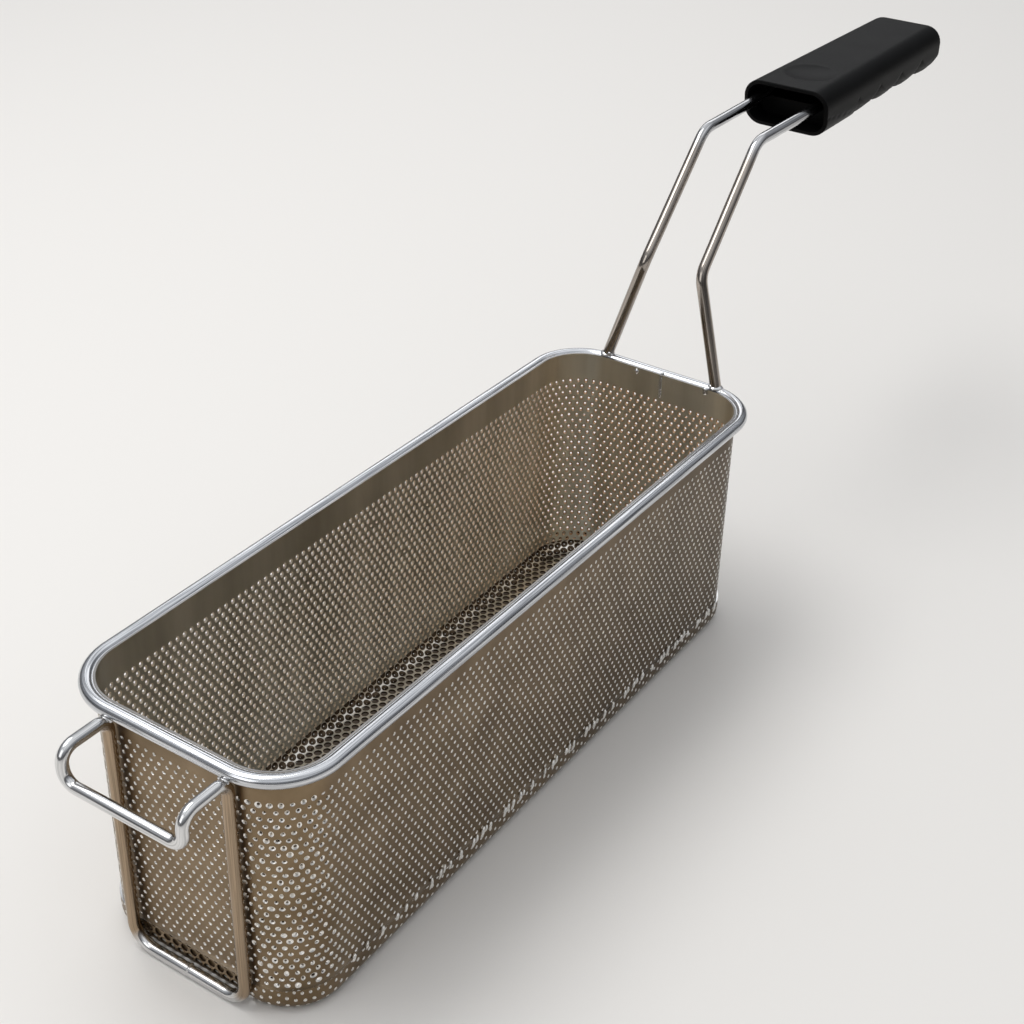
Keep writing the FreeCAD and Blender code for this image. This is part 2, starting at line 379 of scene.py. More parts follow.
def steel(name, dark, light, roughness, grain=900, cloud_stretch=EVEN, bump_distance=0.00003, painted_light_tones=()):
    """Satin stainless steel with clouded colour and fine marks.

    Its tints are (share of the way from the front to the back, tint) pairs that paint light and shade
    along the basket's length.
    """
    material, nodes, links, shader = node_material(name)
    cloud = noise(nodes, links, CLOUD_SCALE, CLOUD_DETAIL, cloud_stretch)
    colour = ramp(nodes, links, cloud, list(zip(CLOUD_STOPS, (dark, light))))
    if painted_light_tones:
        place = nodes.new("ShaderNodeTexCoord")
        parts = nodes.new("ShaderNodeSeparateXYZ")
        along = nodes.new("ShaderNodeMapRange")
        along.inputs["From Min"].default_value = -HALF_LENGTH
        along.inputs["From Max"].default_value = HALF_LENGTH
        links.new(place.outputs["Object"], parts.inputs["Vector"])
        links.new(parts.outputs["Y"], along.inputs["Value"])
        tint = ramp(nodes, links, along.outputs["Result"], painted_light_tones)
        colour = multiply(nodes, links, colour, tint)
    links.new(colour, shader.inputs["Base Color"])
    marks = noise(nodes, links, grain, MARK_DETAIL, cloud_stretch, MARK_ROUGHNESS)
    links.new(value_range(nodes, links, marks, *roughness), shader.inputs["Roughness"])
    bump(nodes, links, marks, shader, MARK_BUMP, bump_distance)
    shader.inputs["Metallic"].default_value = 1.0
    return material


def wire_steel(name, dark, light, roughness, reflection_tint=WHITE):
    """Polished wire with fine lines along it, carrying a painted reflection tint where its attribute
    says so.
    """
    material, nodes, links, shader = node_material(name)
    grain = nodes.new("ShaderNodeAttribute")
    grain.attribute_name = "wire_grain"
    lines = nodes.new("ShaderNodeTexNoise")
    lines.inputs["Scale"].default_value = WIRE_LINE_SCALE
    lines.inputs["Detail"].default_value = WIRE_LINE_DETAIL
    links.new(grain.outputs["Vector"], lines.inputs["Vector"])
    marks = lines.outputs["Fac"]
    polish = ramp(nodes, links, marks, list(zip(WIRE_LINE_STOPS, (dark, light))))
    painted_reflection = nodes.new("ShaderNodeAttribute")
    painted_reflection.attribute_name = "wire_painted_reflection"
    tint = ramp(nodes, links, painted_reflection.outputs["Fac"], [(0, WHITE), (1, reflection_tint)])
    links.new(multiply(nodes, links, polish, tint), shader.inputs["Base Color"])
    links.new(value_range(nodes, links, marks, *roughness), shader.inputs["Roughness"])
    bump(nodes, links, marks, shader, WIRE_BUMP, WIRE_LINE_DEPTH)
    shader.inputs["Metallic"].default_value = 1.0
    return material


def grip_material():
    """Fine-grained black moulding."""
    material, nodes, links, shader = node_material("grip_black")
    grain = noise(nodes, links, MOULD_GRAIN_SCALE, MOULD_GRAIN_DETAIL)
    cloud = noise(nodes, links, MOULD_CLOUD_SCALE, MOULD_CLOUD_DETAIL)
    stops = [(0.3, (0.002, 0.002, 0.002)), (0.75, (0.005, 0.005, 0.005))]
    links.new(ramp(nodes, links, cloud, stops), shader.inputs["Base Color"])
    links.new(value_range(nodes, links, cloud, 0.38, 0.5), shader.inputs["Roughness"])
    shader.inputs["Specular IOR Level"].default_value = 0.06
    bump(nodes, links, grain, shader, MOULD_BUMP, MOULD_GRAIN_DEPTH)
    return material


# Painted light and shade along the basket's length, as (share of the way from the front to the back,
# tint): the outer face darker towards the back, the inner face paler towards the back, the hole insides
# darker and browner at the back
OUTER_PAINTED_SHADE = [
    (0.06, WHITE),
    (0.16, (0.84, 0.84, 0.84)),
    (0.5, (0.8, 0.8, 0.8)),
    (0.72, (0.58, 0.57, 0.55)),
    (0.95, (0.46, 0.45, 0.42)),
]
INNER_PAINTED_LIGHT = [(0.67, (0.56, 0.56, 0.56)), (1.0, WHITE)]
BORE_PAINTED_SHADE = [(0.3, WHITE), (0.93, (0.95, 0.88, 0.8)), (0.99, (0.6, 0.45, 0.33))]

# Painted reflection and shade: the outer face is a dark warm-brown copy of the steel, standing for a
# brown table mirrored in it and for the shade on that side
MAT_WALL_OUTER = steel(
    "steel_wall_outer", (0.175, 0.123, 0.071), (0.265, 0.194, 0.118), (0.3, 0.45), painted_light_tones=OUTER_PAINTED_SHADE,
)
# Painted light: the inner face is a much paler copy of the same steel than the outer face
MAT_WALL_INNER = steel(
    "steel_wall_inner", (0.6, 0.565, 0.47), (0.91, 0.86, 0.735), (0.28, 0.42),
    cloud_stretch=UPRIGHT, painted_light_tones=INNER_PAINTED_LIGHT,
)
# Painted light: the hole insides are pale cream, so that the holes read as lit dots
MAT_HOLE_INSIDE = steel(
    "steel_hole_inside", (0.95, 0.84, 0.7), (1.0, 0.9, 0.78), (0.4, 0.55), 1500,
    bump_distance=0.00002, painted_light_tones=BORE_PAINTED_SHADE,
)
# Painted highlight: a near-white copy of the steel on the hole lips, the pan edge's outer bores and the
# weld bars along the pan's edge
MAT_HOLE_EDGE = steel("steel_hole_edge", (0.86, 0.83, 0.78), (0.95, 0.93, 0.89), (0.3, 0.45), 1500)
# Painted shade: the wall's cut top edge, under the rim, is a dark copy of the steel
MAT_CUT_EDGE = steel("steel_cut_edge", (0.2, 0.195, 0.185), (0.32, 0.31, 0.3), (0.25, 0.4), 1500)
# Painted light: the pan's upper face is a much paler copy of the steel, so that its webs read bright
MAT_BOTTOM = steel("steel_bottom", (0.7, 0.67, 0.62), (0.94, 0.91, 0.86), (0.22, 0.38))
# Painted shade: the pan's hole walls are near black, so that its holes read dark
MAT_BOTTOM_BORE = steel("steel_bottom_bore", (0.06, 0.045, 0.03), (0.12, 0.09, 0.065), (0.4, 0.55))
MAT_WELD = steel("steel_weld", (0.5, 0.5, 0.5), (0.8, 0.8, 0.8), (0.12, 0.3), 700, bump_distance=0.00008)
MAT_RIM = wire_steel("steel_rim", (0.38, 0.39, 0.41), (0.73, 0.74, 0.76), (0.12, 0.26))
# Painted reflection: the frame's and the handle's legs take a warm brown tint
MAT_FRAME = wire_steel(
    "steel_frame", (0.5, 0.5, 0.5), (0.76, 0.76, 0.76), (0.1, 0.22), reflection_tint=(0.53, 0.4, 0.275),
)
MAT_HANDLE = wire_steel(
    "steel_handle", (0.34, 0.345, 0.35), (0.66, 0.66, 0.67), (0.08, 0.2), reflection_tint=(0.72, 0.64, 0.56),
)
MAT_GRIP = grip_material()


def wrap_wall(travel, depth):
    """Place on the wall, from the distance round it and the depth in from its outer face.

    The distance starts at the middle of the back wall.
    """
    flat_x = 2 * (HALF_WIDTH - CORNER)
    flat_y = 2 * (HALF_LENGTH - CORNER)
    quarter = math.pi / 2 * CORNER
    stretches = [
        (flat_x / 2, (0, HALF_LENGTH), 90, False),
        (quarter, (HALF_WIDTH - CORNER, HALF_LENGTH - CORNER), 90, True),
        (flat_y, (HALF_WIDTH, HALF_LENGTH - CORNER), 0, False),
        (quarter, (HALF_WIDTH - CORNER, CORNER - HALF_LENGTH), 0, True),
        (flat_x, (HALF_WIDTH - CORNER, -HALF_LENGTH), -90, False),
        (quarter, (CORNER - HALF_WIDTH, CORNER - HALF_LENGTH), -90, True),
        (flat_y, (-HALF_WIDTH, CORNER - HALF_LENGTH), -180, False),
        (quarter, (CORNER - HALF_WIDTH, HALF_LENGTH - CORNER), -180, True),
        (flat_x / 2, (CORNER - HALF_WIDTH, HALF_LENGTH), -270, False),
    ]
    around = sum(stretch[0] for stretch in stretches)
    travel = np.mod(travel, around)
    x = np.zeros_like(travel)
    y = np.zeros_like(travel)
    begun = 0.0
    for length, (px, py), facing, curved in stretches:
        here = (travel >= begun) & (travel <= begun + length)
        used = travel[here] - begun
        if curved:
            angle = math.radians(facing) - used / CORNER
            x[here] = px + (CORNER - depth[here]) * np.cos(angle)
            y[here] = py + (CORNER - depth[here]) * np.sin(angle)
        else:
            nx = math.cos(math.radians(facing))
            ny = math.sin(math.radians(facing))
            x[here] = px + used * ny - depth[here] * nx
            y[here] = py - used * nx - depth[here] * ny
        begun += length
    return x, y


AROUND = 2 * math.pi * CORNER + 4 * (HALF_WIDTH + HALF_LENGTH - 2 * CORNER)

# Stretches of the wall, as shares of the way round from the middle of the back wall
WALL_SPANS = {
    "wall_back": (-0.125, 0.125),
    "wall_right": (0.125, 0.36),
    "wall_right_front": (0.36, 0.5),
    "wall_left_front": (0.5, 0.64),
    "wall_left": (0.64, 0.875),
}
BEND_REACH = math.pi / 4 * CORNER / AROUND
FRONT_BEND = (HALF_WIDTH - CORNER) / AROUND + BEND_REACH


def hole_centres(cells, step):
    """Plan places of the holes, each a little off the middle of its cell."""
    return cells * step + RNG.normal(0, CENTRE_SHIFT, (len(cells), 2))


def hole_ring(centres, radii, stretch):
    """Plan places round each hole."""
    turn = np.radians(90 - np.arange(HOLE_SIDES) * 360 / HOLE_SIDES)
    x = centres[:, :1] + radii * stretch * np.cos(turn)
    y = centres[:, 1:] + radii / stretch * np.sin(turn)
    return np.stack([x, y], axis=2).reshape(-1, 2)


def plain_bore(centres, radii, stretch):
    """Rings of plan places along straight holes, each with its depth."""
    ring = hole_ring(centres, radii, stretch)
    return [(ring, 0.0), (ring, SHEET)]


def punched_bore(centres, radii, stretch, lips, throat, inner_radii, inner_stretch=1):
    """Rings along punched holes: the outside of a raised lip, a narrow throat and a bell inside.

    lips holds the widths of the lips, and throat is the throat's share of the outer radius.
    """
    throats = centres + RNG.normal(0, THROAT_SHIFT, centres.shape)
    return [
        (hole_ring(centres, radii + lips, stretch), -BURR_HEIGHT),
        (hole_ring(throats, radii * throat, stretch), THROAT_DEPTH),
        (hole_ring(centres, inner_radii, stretch * inner_stretch), SHEET),
    ]


def lattice(cells, step, rings, bore_kinds):
    """Perforated sheet as staggered six-sided cells, each with a round hole.

    cells holds whole-number (column, row) pairs in half pitches and thirds of a row's spacing, and step
    is the size of these units. rings holds the rings of places along the holes with their depths, from
    the outer face inwards, and bore_kinds the kinds of the faces between them. Returns plan places,
    depths, faces and each face's kind.
    """
    count = len(cells)
    keys = np.concatenate([cells + np.array(offset) for offset in CELL_CORNERS])
    unique, index = np.unique(keys, axis=0, return_inverse=True)
    index = index.reshape(6, count)
    corners = unique * step
    corner_count = len(corners)

    plan = [corners, corners] + [places for places, _ in rings]
    depths = [np.zeros(corner_count), np.full(corner_count, SHEET)]
    depths += [np.full(len(places), depth) for places, depth in rings]
    first = [2 * corner_count + k * count * HOLE_SIDES for k in range(len(rings))]
    cell = np.arange(count) * HOLE_SIDES
    faces = []
    kinds = []
    per_corner = HOLE_SIDES // 6
    for side in range(6):
        here = index[side]
        following = index[(side + 1) % 6]
        ring = [cell + (side * per_corner + k) % HOLE_SIDES for k in range(per_corner + 1)]
        outer = [here, following] + [first[0] + r for r in ring[::-1]]
        inner = [following + corner_count, here + corner_count] + [first[-1] + r for r in ring]
        faces += [np.stack(outer, axis=1), np.stack(inner, axis=1)]
        kinds += [np.full(count, OUTER_FACE), np.full(count, INNER_FACE)]
    for side in range(HOLE_SIDES):
        a = cell + side
        b = cell + (side + 1) % HOLE_SIDES
        for upper, lower, kind in zip(first[:-1], first[1:], bore_kinds):
            faces.append(np.stack([upper + a, upper + b, lower + b, lower + a], axis=1))
            kinds.append(np.full(count, kind))
    return np.concatenate(plan), np.concatenate(depths), faces, kinds


def sheet_object(name, x, y, z, faces, kinds, materials):
    """Object from numpy corner places and lists of equal-sized faces."""
    flat = [tuple(face) for group in faces for face in group.tolist()]
    slots = np.concatenate(kinds)
    return new_object(name, np.stack([x, y, z], axis=1).tolist(), flat, materials, slots, SHEET_SHARP)


def trim_sheet(piece, height, keep_above):
    """Cuts a sheet off at a height."""
    shape = bmesh.new()
    shape.from_mesh(piece.data)
    whole = shape.verts[:] + shape.edges[:] + shape.faces[:]
    bmesh.ops.bisect_plane(
        shape, geom=whole, plane_co=(0, 0, height), plane_no=(0, 0, 1), dist=1e-7,
        clear_inner=keep_above, clear_outer=not keep_above,
    )
    shape.to_mesh(piece.data)
    shape.free()
    piece.data.set_sharp_from_angle(angle=math.radians(SHEET_SHARP))


def wall_hole_sizes(cells, columns):
    """Radius, stretch and lip of each wall hole: even on the flats, uneven round the front bends."""
    travel = cells[:, :1] / (2 * columns)
    bend_distance = np.abs(np.abs(travel - FRONT_MIDDLE) - FRONT_BEND)
    near_bend = np.clip(BEND_FADE - bend_distance / BEND_REACH, 0, 1)
    shape = (len(cells), 1)
    spread = SIZE_SPREAD + BEND_SIZE_SPREAD * near_bend
    unevenness = np.clip(1 + spread * RNG.normal(0, 1, shape), *SIZE_LIMITS)
    radii = HOLE_RADIUS * (1 + BEND_SIZE_GAIN * near_bend) * unevenness
    damaged = RNG.random(shape) < DAMAGED_SHARE + BEND_DAMAGED_SHARE * near_bend
    radii = np.where(damaged, radii * DAMAGED_SIZE, radii)
    stretch = 1 + (STRETCH_SPREAD + BEND_STRETCH_SPREAD * near_bend) * RNG.normal(0, 1, shape)
    stretch = np.where(damaged, DAMAGED_STRETCH, stretch)
    lips = HOLE_LIP + BEND_LIP * near_bend * np.clip(1 + LIP_SPREAD * RNG.normal(0, 1, shape), 0, 2)
    return radii, stretch, lips


def top_margin(begin, end, step, first):
    """Plain strip from the top row of cells to the wall's cut edge, numbered on from first."""
    zigzag = [(2 * c + k, 2 - k) for c in range(begin, end) for k in (0, 1)] + [(2 * end, 2)]
    strip = np.array(zigzag) * step
    count = len(strip)
    levels = [
        strip[:, 1],
        np.full(count, MARGIN_BEGIN - HOLE_TOP_ROW),
        np.full(count, WALL_TOP - HOLE_TOP_ROW),
    ]
    plan = np.concatenate([np.stack([strip[:, 0], level], axis=1) for level in levels] * 2)
    depths = np.concatenate([np.zeros(3 * count), np.full(3 * count, SHEET)])
    faces = []
    kinds = []
    a = np.arange(count - 1)
    for level in (0, 1):
        low = first + level * count
        high = low + count
        faces.append(np.stack([low + a, high + a, high + a + 1, low + a + 1], axis=1))
        kinds.append(np.full(count - 1, OUTER_FACE))
        low += 3 * count
        high += 3 * count
        faces.append(np.stack([low + a, low + a + 1, high + a + 1, high + a], axis=1))
        kinds.append(np.full(count - 1, INNER_FACE))
    outer = first + 2 * count
    inner = first + 5 * count
    faces.append(np.stack([outer + a, inner + a, inner + a + 1, outer + a + 1], axis=1))
    kinds.append(np.full(count - 1, CUT_EDGE))
    return plan, depths, faces, kinds


def wall_pieces():
    """The wall's stretches of perforated strip, each with its plain top margin."""
    materials = [MAT_WALL_OUTER, MAT_WALL_INNER, MAT_HOLE_EDGE, MAT_CUT_EDGE, MAT_HOLE_INSIDE]
    columns = round(AROUND / HOLE_PITCH)
    step = np.array([AROUND / columns / 2, HOLE_ROW / 3])
    rows = math.ceil((HOLE_TOP_ROW - WALL_LOW) / (3 * step[1])) + 1
    pieces = []
    for name, (begin_share, end_share) in WALL_SPANS.items():
        begin = round(begin_share * columns)
        end = round(end_share * columns)
        cells = np.array([(2 * c + r % 2, -3 * r) for r in range(rows) for c in range(begin, end)])
        radii, stretch, lips = wall_hole_sizes(cells, columns)
        inner = np.minimum(radii * HOLE_INNER, INNER_LIMIT)
        centres = hole_centres(cells, step)
        rings = punched_bore(centres, radii, stretch, lips, HOLE_THROAT, inner, INNER_STRETCH)
        plan, depths, faces, kinds = lattice(cells, step, rings, (HOLE_EDGE, HOLE_INSIDE))
        margin_plan, margin_depths, margin_faces, margin_kinds = top_margin(begin, end, step, len(plan))
        plan = np.concatenate([plan, margin_plan])
        depths = np.concatenate([depths, margin_depths])
        x, y = wrap_wall(plan[:, 0], depths)
        z = plan[:, 1] + HOLE_TOP_ROW
        piece = sheet_object(name, x, y, z, faces + margin_faces, kinds + margin_kinds, materials)
        trim_sheet(piece, WALL_LOW, True)
        pieces.append(piece)
    return pieces


def pan_place(x, y, depth):
    """Bends a flat sheet into the pan: flat bottom, rounded edge and upright flange."""
    core_x = np.clip(x, FLAT_CORNER - FLAT_HALF_X, FLAT_HALF_X - FLAT_CORNER)
    core_y = np.clip(y, FLAT_CORNER - FLAT_HALF_Y, FLAT_HALF_Y - FLAT_CORNER)
    dx = x - core_x
    dy = y - core_y
    reach = np.hypot(dx, dy)
    beyond = np.maximum(reach - FLAT_CORNER, 0)
    safe = np.where(reach > 1e-9, reach, 1)
    bend = math.pi / 2 * PAN_BEND
    angle = np.minimum(beyond, bend) / PAN_BEND
    outward = np.minimum(reach, FLAT_CORNER) + (PAN_BEND - depth) * np.sin(angle)
    height = PAN_BEND - (PAN_BEND - depth) * np.cos(angle) + np.maximum(beyond - bend, 0)
    return core_x + dx / safe * outward, core_y + dy / safe * outward, height


def pan_cells(step):
    """Cells of the flat, and of the bent edge, on the pan before it is bent.

    Behind the frame's foot bar the edge takes the flat's wide holes.
    """
    spread = math.pi / 2 * PAN_BEND + PAN_TOP - PAN_BEND + PAN_SPARE
    half_x = FLAT_HALF_X + spread
    half_y = FLAT_HALF_Y + spread
    corner = FLAT_CORNER + spread
    rows = int(half_y / (3 * step[1]))
    columns = int(half_x / (2 * step[0])) + 1
    flat_cells = []
    edge_cells = []
    for row in range(-rows, rows + 1):
        for column in range(-columns, columns + 1):
            cell = (2 * column + row % 2, 3 * row)
            x, y = cell * step
            out_x = x - min(max(x, corner - half_x), half_x - corner)
            out_y = y - min(max(y, corner - half_y), half_y - corner)
            reach = math.hypot(out_x, out_y)
            behind_bar = abs(x) < LEG_X and y < 0
            if reach < corner - spread or behind_bar and reach < corner:
                flat_cells.append(cell)
            elif reach < corner:
                edge_cells.append(cell)
    return np.array(flat_cells), np.array(edge_cells)


def pan_pieces():
    """Perforated pan: its flat, and its bent edge where the holes are small outside and wide inside."""
    materials = [MAT_WALL_OUTER, MAT_BOTTOM, MAT_HOLE_EDGE, MAT_BOTTOM_BORE]
    step = np.array([BOTTOM_PITCH_X / 2, BOTTOM_PITCH_Y / 3])
    pieces = []
    for name, cells in zip(("bottom_flat", "bottom_edge"), pan_cells(step)):
        uneven = 1 + RNG.normal(0, PAN_UNEVENNESS, (len(cells), 1))
        stretch = 1 + RNG.normal(0, PAN_UNEVENNESS, (len(cells), 1))
        centres = hole_centres(cells, step)
        if name == "bottom_flat":
            rings = plain_bore(centres, BOTTOM_HOLE * uneven, stretch)
            bore_kinds = (PAN_BORE,)
        else:
            radii = EDGE_HOLE * uneven
            rings = punched_bore(centres, radii, stretch, HOLE_LIP, EDGE_THROAT, EDGE_INNER * uneven)
            bore_kinds = (HOLE_EDGE, PAN_BORE)
        plan, depths, faces, kinds = lattice(cells, step, rings, bore_kinds)
        x, y, z = pan_place(plan[:, 0], plan[:, 1], depths)
        turned = [face[:, ::-1] for face in faces]
        piece = sheet_object(name, x, y, z, turned, kinds, materials)
        trim_sheet(piece, PAN_TOP, False)
        pieces.append(piece)
    return pieces


def route(points, bends, closed, step):
    """Points along straight runs and tangent bends."""
    points = [Vector(p) for p in points]
    count = len(points)
    path = []
    for index, here in enumerate(points):
        if not closed and index in (0, count - 1):
            path.append(here)
            continue
        before = (points[index - 1] - here).normalized()
        after = (points[(index + 1) % count] - here).normalized()
        half = before.angle(after) / 2
        setback = bends[index] / math.tan(half)
        centre = here + (before + after).normalized() * (bends[index] / math.sin(half))
        start = here + before * setback - centre
        end = here + after * setback - centre
        axis = start.cross(end).normalized()
        turn = start.angle(end)
        pieces = max(3, round(turn / step))
        for k in range(pieces + 1):
            path.append(centre + Matrix.Rotation(turn * k / pieces, 3, axis) @ start)
    return path


def rounded_loop(inset, height):
    """Points round the wall's outline, in from its outer face by inset."""
    x = HALF_WIDTH - inset
    y = HALF_LENGTH - inset
    corners = [(x, y, height), (-x, y, height), (-x, -y, height), (x, -y, height)]
    return route(corners, [CORNER - inset] * 4, True, LOOP_TURN)


def band_faces(count):
    """Faces between a closed loop of places and a second loop that follows it."""
    return [(i, (i + 1) % count, count + (i + 1) % count, count + i) for i in range(count)]


def pan_edge_piece():
    """Cut top of the pan's turned-up edge, between its outer and inner outlines."""
    outer = rounded_loop(-SHEET, PAN_TOP)
    inner = rounded_loop(0, PAN_TOP)
    return new_object("bottom_cut_edge", outer + inner, band_faces(len(outer)), [MAT_WELD])


def fine_route(path, closed, spacing):
    """Adds points on long runs."""
    result = []
    pairs = zip(path, path[1:] + path[:1]) if closed else zip(path, path[1:])
    for a, b in pairs:
        steps = max(1, math.ceil((b - a).length / spacing))
        result += [a.lerp(b, k / steps) for k in range(steps)]
    if not closed:
        result.append(path[-1])
    return result


def tube(name, path, radius, closed, material, sides=WIRE_SIDES, painted_reflection=None):
    """Round wire along a path, with the values that its material reads.

    Its section is carried along without twist. The optional function gives the share of the material's
    painted reflection tint at a place.
    """
    count = len(path)
    vertices = []
    grain = []
    painted_light_tones = []
    travelled = 0.0
    tangent = (path[1] - path[0]).normalized()
    normal = tangent.orthogonal().normalized()
    for index, place in enumerate(path):
        if index:
            travelled += (place - path[index - 1]).length
        ahead = path[(index + 1) % count] if closed or index < count - 1 else place
        behind = path[index - 1] if closed or index > 0 else place
        following = (ahead - behind).normalized()
        normal = (tangent.rotation_difference(following) @ normal).normalized()
        normal = (normal - following * normal.dot(following)).normalized()
        tangent = following
        sideways = tangent.cross(normal)
        for side in range(sides):
            angle = 2 * math.pi * side / sides
            vertices.append(place + (normal * math.cos(angle) + sideways * math.sin(angle)) * radius)
            grain.append((math.cos(angle), math.sin(angle), travelled * GRAIN_PER_METRE))
            painted_light_tones.append(painted_reflection(place) if painted_reflection else 0.0)
    faces = []
    shift = 0
    if closed:
        last_ring = (count - 1) * sides
        shift = min(range(sides), key=lambda s: (vertices[s] - vertices[last_ring]).length)
    for index in range(count if closed else count - 1):
        following = (index + 1) % count
        offset = shift if following == 0 else 0
        for side in range(sides):
            a = index * sides + side
            b = index * sides + (side + 1) % sides
            c = following * sides + (side + 1 + offset) % sides
            d = following * sides + (side + offset) % sides
            faces.append((a, b, c, d))
    if not closed:
        faces.append(tuple(range(sides))[::-1])
        faces.append(tuple(range((count - 1) * sides, count * sides)))
    piece = new_object(name, vertices, faces, [material], None, WIRE_SHARP)
    attribute = piece.data.attributes.new("wire_grain", "FLOAT_VECTOR", "POINT")
    attribute.data.foreach_set("vector", np.array(grain, dtype=np.float32).ravel())
    attribute = piece.data.attributes.new("wire_painted_reflection", "FLOAT", "POINT")
    attribute.data.foreach_set("value", np.array(painted_light_tones, dtype=np.float32))
    return piece


def rim_piece():
    """Closed ring of wire round the wall's top edge."""
    x = RIM[1][0] - RIM_RADIUS
    y = RIM_BACK_Y
    points = [(x, y, RIM_Z), (-x, y, RIM_Z), (-x, -y, RIM_Z), (x, -y, RIM_Z)]
    path = route(points, [CORNER + RIM_RADIUS] * 4, True, RIM_TURN)
    return tube("rim_ring", fine_route(path, True, RIM_STEP), RIM_RADIUS, True, MAT_RIM, RIM_SIDES)


def rim_fillet_piece():
    """Weld metal that fills the groove between the rim and the wall's top edge."""
    path = fine_route(rounded_loop(-FILLET_OUT, WALL_TOP - FILLET_RADIUS), True, FILLET_STEP)
    return tube("rim_fillet", path, FILLET_RADIUS, True, MAT_RIM, FILLET_SIDES)


def fade(value, begin, end):
    """Share of the way from begin to end, from 0 to 1."""
    return min(max((value - begin) / (end - begin), 0.0), 1.0)


def mirrored(right):
    """Points of the right half and, on from its end, those of the left half."""
    return right + [(-x, y, z) for x, y, z in right[::-1]]


def hanger_piece():
    """Closed wire in front of the front wall, folded out under the rim to the hook's cross bar."""
    hook_y = HANGER[0][1] + FRAME_RADIUS
    arm_z = HANGER[1][2] - FRAME_RADIUS
    foot_z = HANGER[0][2] + FRAME_RADIUS
    right = [
        (LEG_X, LEG_Y, foot_z),
        (LEG_X, LEG_Y, arm_z),
        (LEG_X, hook_y, arm_z),
        (LEG_X, hook_y, arm_z - HOOK_DROP),
    ]
    path = route(mirrored(right), HANGER_BENDS + HANGER_BENDS[::-1], True, HANGER_TURN)

    # Share of the painted reflection tint on the frame's legs
    def leg_painted_reflection(place):
        return fade(place.z, *FRAME_REFLECTION_RISE) * fade(place.y - LEG_Y, *FRAME_REFLECTION_BEHIND)

    path = fine_route(path, True, HANGER_STEP)
    return tube("hanger_loop", path, FRAME_RADIUS, True, MAT_FRAME, painted_reflection=leg_painted_reflection)


def handle_piece():
    """Wire bent double, from its feet on the rim up and back into the grip."""
    knee_y = RIM_BACK_Y + KNEE_REACH
    knee_z = RIM_Z + KNEE_RISE
    elbow_y = knee_y + ELBOW_REACH
    elbow_z = knee_z + ELBOW_RISE
    right = [
        (HANDLE_FOOT_X, RIM_BACK_Y, RIM_Z + HANDLE_FOOT_RISE),
        (KNEE_X, knee_y, knee_z),
        (ELBOW_X, elbow_y, elbow_z),
        (TAIL_X, HANDLE[1][1] - HANDLE_RADIUS, elbow_z),
    ]
    path = route(mirrored(right), HANDLE_BENDS + HANDLE_BENDS[::-1], False, HANDLE_TURN)

    # Share of the painted reflection tint on the handle's legs, below the elbow
    def leg_painted_reflection(place):
        return 1 - fade(place.z - elbow_z, *HANDLE_REFLECTION_FALL)

    path = fine_route(path, False, HANDLE_STEP)
    return tube("handle_loop", path, HANDLE_RADIUS, False, MAT_HANDLE, painted_reflection=leg_painted_reflection)


def rounded_section(half_x, half_z, corner, flat_count=22, side_count=6, corner_count=14):
    """Places round a rounded rectangle, from its top, clockwise as seen from the front."""
    places = []
    core_x = half_x - corner
    core_z = half_z - corner
    runs = [((0, 1), flat_count), ((1, 0), side_count), ((0, -1), flat_count), ((-1, 0), side_count)]
    for index, ((nx, nz), steps) in enumerate(runs):
        reach = core_x if nz else core_z
        for k in range(steps):
            t = (2 * (k + 0.5) / steps - 1) * reach
            places.append((nx * half_x + nz * t, nz * half_z - nx * t))
        next_x, next_z = runs[(index + 1) % 4][0]
        centre_x = core_x * (nx + next_x)
        centre_z = core_z * (nz + next_z)
        for k in range(corner_count):
            angle = math.pi / 2 * (k + 0.5) / corner_count
            out_x = nx * math.cos(angle) + next_x * math.sin(angle)
            out_z = nz * math.cos(angle) + next_z * math.sin(angle)
            places.append((centre_x + corner * out_x, centre_z + corner * out_z))
    return np.array(places)


def pad_height(along, depth):
    """Height of the finger pads over their valleys, as arcs with sharp valleys between them."""
    arc = (FINGER_PITCH ** 2 / 4 + depth ** 2) / (2 * depth)
    t = (along - FINGER_FIRST) % FINGER_PITCH - FINGER_PITCH / 2
    height = np.sqrt(arc ** 2 - t ** 2) - arc + depth
    before = np.clip((FINGER_FIRST - along) / FINGER_SHOULDER, 0, 1)
    rounded = depth * np.sqrt(1 - (1 - before) ** 2)
    return np.where(along < FINGER_FIRST, rounded, height)


